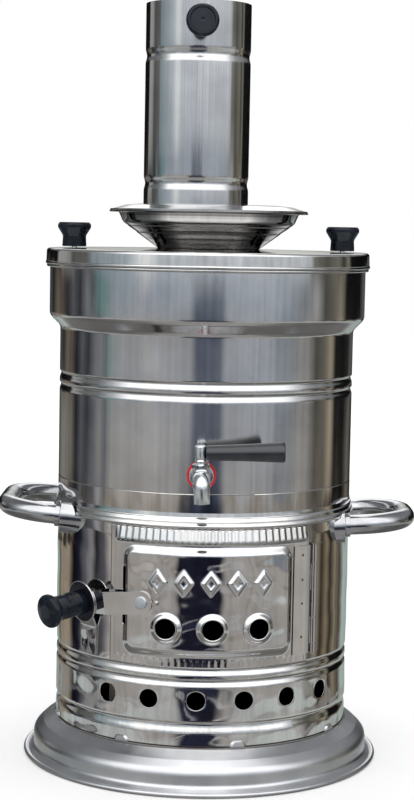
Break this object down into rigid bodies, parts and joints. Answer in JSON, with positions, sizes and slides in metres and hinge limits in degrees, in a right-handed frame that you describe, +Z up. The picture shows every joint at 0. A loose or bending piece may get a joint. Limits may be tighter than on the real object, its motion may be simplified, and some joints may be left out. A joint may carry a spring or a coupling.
{
  "type": "samovar",
  "caption": "Metal samovar: water tank over a wood-fired chamber, with a tap, fire door, loop handles, lid, teapot stand and lift-off chimney.",
  "frame": {"origin": "centre of the foot's underside, on the floor", "axes": "+Z up along the tank, -Y the front with the tap and the fire door, +X to the right seen from the front"},
  "size_m": [0.3417, 0.3004, 0.6129],
  "materials": {
    "satin_steel": "satin, lightly streaked up and down",
    "polished_steel": "mirror-polished stainless steel",
    "spun_aluminium": "satin, spun",
    "plated_brass": "bright plated tap",
    "fire_steel": "dull inner steel",
    "bakelite": "moulded black, softly glossy",
    "black_washer": "black enamel with a bare edge",
    "gasket_red": "soft matt rubber",
    "dish_steel": "satin, darker"
  },
  "bodies": {
    "stove": {"base_foot": "spun_aluminium", "base_plate": "fire_steel", "ash_tray": "fire_steel", "fire_chamber_shell": "polished_steel", "fire_grate": "fire_steel", "waist_ring": "polished_steel", "tank_shell": "satin_steel", "tank_floor": "satin_steel", "flue_tube": "satin_steel", "body_hinge_leaf": "polished_steel", "door_hinge_pin": "satin_steel", "latch_catch": "polished_steel", "tap_gasket_outer": "gasket_red", "tap_flange": "plated_brass", "tap_body": "plated_brass", "tap_gasket_inner": "gasket_red", "tap_back_nut": "plated_brass", "tap_gland_nut": "plated_brass", "handle_left": "satin_steel", "handle_right": "satin_steel", "handle_socket_left_front": "satin_steel", "handle_socket_left_rear": "satin_steel", "handle_socket_right_front": "satin_steel", "handle_socket_right_rear": "satin_steel"},
    "door": {"fire_door": "polished_steel", "door_hinge_leaf": "polished_steel", "latch_rivet": "satin_steel", "latch_stop": "satin_steel"},
    "latch": {"latch_arm": "polished_steel", "latch_washer": "black_washer", "latch_knob": "bakelite", "latch_screw": "satin_steel"},
    "tap_key": {"tap_plug": "plated_brass", "tap_cap": "plated_brass", "tap_lever": "bakelite"},
    "lid": {"lid": "satin_steel", "lid_knob_left": "bakelite", "lid_knob_right": "bakelite", "lid_knob_screws": "satin_steel"},
    "stand": {"stand_dish": "dish_steel", "stand_deck": "satin_steel"},
    "chimney": {"chimney_pipe": "satin_steel", "chimney_knob": "bakelite", "chimney_knob_screw": "satin_steel"}
  },
  "joints": [
    {"name": "door_hinge", "type": "hinge", "parent": "stove", "child": "door", "pos_m": [0.08773, -0.08621, 0.145], "axis": [0, 0, 1], "range_deg": [0, 110]},
    {"name": "latch_swing", "type": "hinge", "parent": "door", "child": "latch", "pos_m": [-0.04647, -0.11561, 0.1451], "axis": [0.373, 0.9278, 0], "range_deg": [0, 22]},
    {"name": "tap_turn", "type": "hinge", "parent": "stove", "child": "tap_key", "pos_m": [-0.002, -0.13598, 0.2454], "axis": [0.0523, 0, -0.9986], "range_deg": [0, 90]},
    {"name": "lid_lift", "type": "slide", "parent": "stove", "child": "lid", "axis": [0, 0, 1], "range_m": [0, 0.15]},
    {"name": "stand_lift", "type": "slide", "parent": "lid", "child": "stand", "axis": [0, 0, 1], "range_m": [0, 0.12]},
    {"name": "chimney_lift", "type": "slide", "parent": "stand", "child": "chimney", "axis": [0, 0, 1], "range_m": [0, 0.1]}
  ]
}
